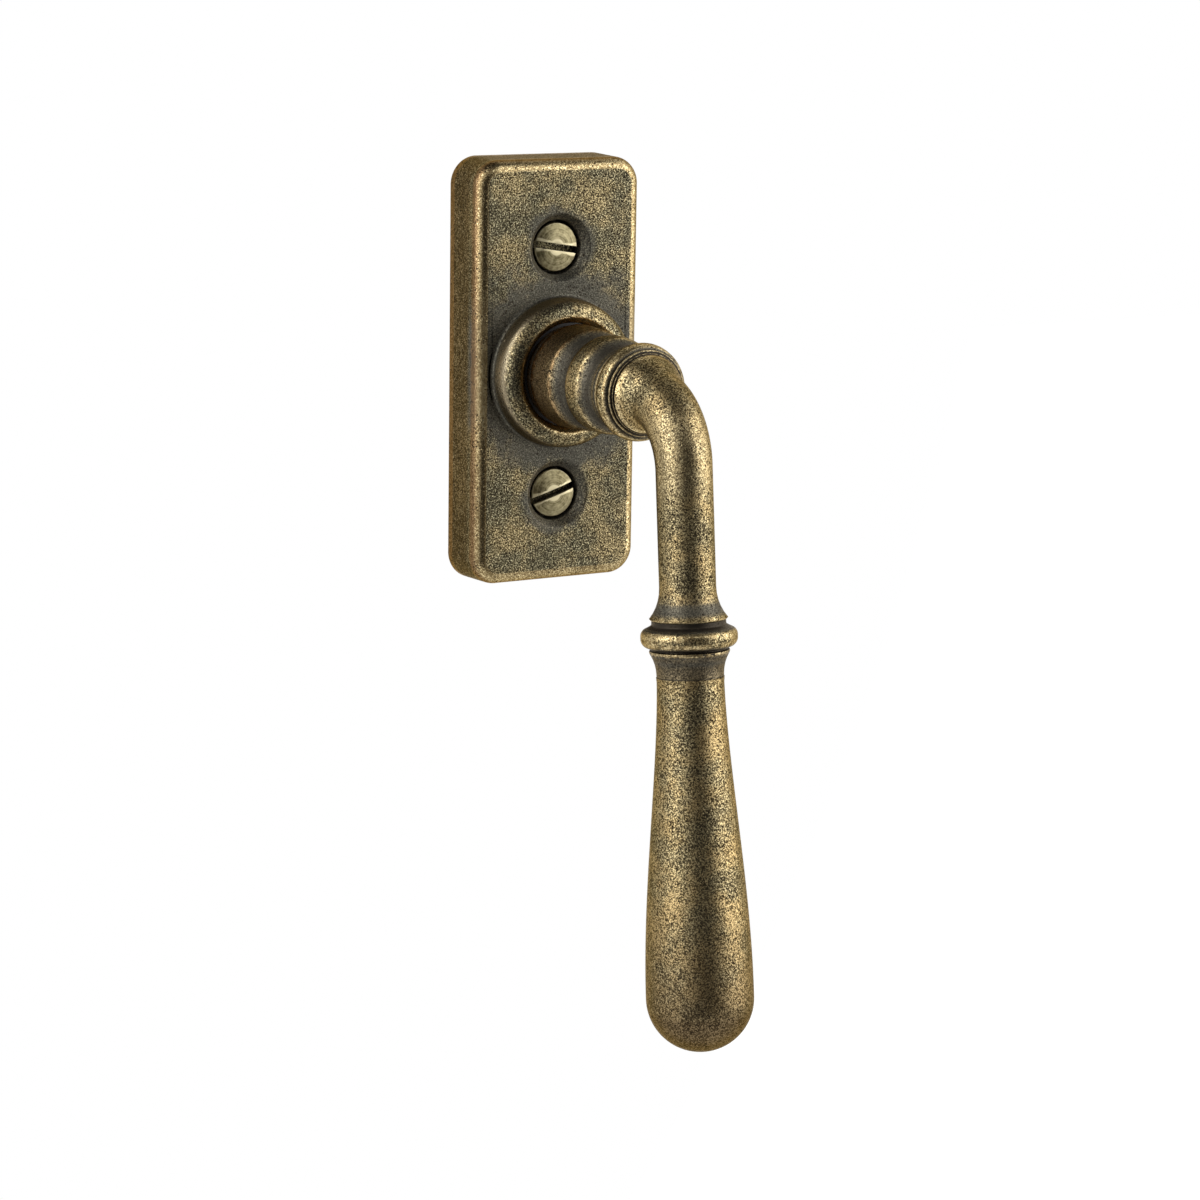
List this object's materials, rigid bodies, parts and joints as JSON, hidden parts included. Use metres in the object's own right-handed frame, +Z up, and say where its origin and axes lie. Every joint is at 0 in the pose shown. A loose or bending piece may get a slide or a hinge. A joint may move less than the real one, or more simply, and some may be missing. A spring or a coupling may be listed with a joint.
{
  "type": "window handle",
  "caption": "Window handle with a drooping turned lever on a rectangular plate with a raised ring, square spindle, fixing screws and quarter-turn detent.",
  "frame": {"origin": "where the spindle's axis crosses the plate's mounting face", "axes": "+Z up along the plate; +Y out of the mounting face into the window frame, so the handle faces the room along -Y; +X is to the right for someone in the room"},
  "size_m": [0.0326, 0.1088, 0.1449],
  "materials": {
    "antique_brass": "cast brass with a dark speckled antique patina, worn to gold on edges, rings and beads and grey-brown in the hollows",
    "screw_brass": "turned brass, dull olive-yellow, fine concentric turning marks, slots dark",
    "zinc_steel": "bright zinc-plated steel",
    "spring_steel": "dark phosphated spring steel",
    "sleeve_zinc": "plain die-cast light metal",
    "nylon": "black moulded nylon"
  },
  "bodies": {
    "base": {"base_plate": "antique_brass", "bearing_bush": "nylon", "thrust_washer": "zinc_steel", "curved_washer": "spring_steel", "backing_washer": "zinc_steel", "detent_housing": "nylon", "detent_spring_left": "spring_steel", "detent_spring_right": "spring_steel", "rear_cover": "zinc_steel", "cover_screw_left": "zinc_steel", "cover_screw_right": "zinc_steel", "locating_sleeve_upper": "sleeve_zinc", "locating_sleeve_lower": "sleeve_zinc", "fixing_screw_upper": "screw_brass", "fixing_screw_lower": "screw_brass"},
    "lever": {"lever": "antique_brass", "square_spindle": "zinc_steel", "spindle_pin": "spring_steel", "retaining_ring": "spring_steel", "index_cam": "zinc_steel"}
  },
  "joints": [
    {"name": "lever_turn", "type": "hinge", "parent": "base", "child": "lever", "pos_m": [0, 0, 0], "axis": [0, -1, 0], "continuous": true, "deforming": ["detent_spring_left", "detent_spring_right"]}
  ]
}
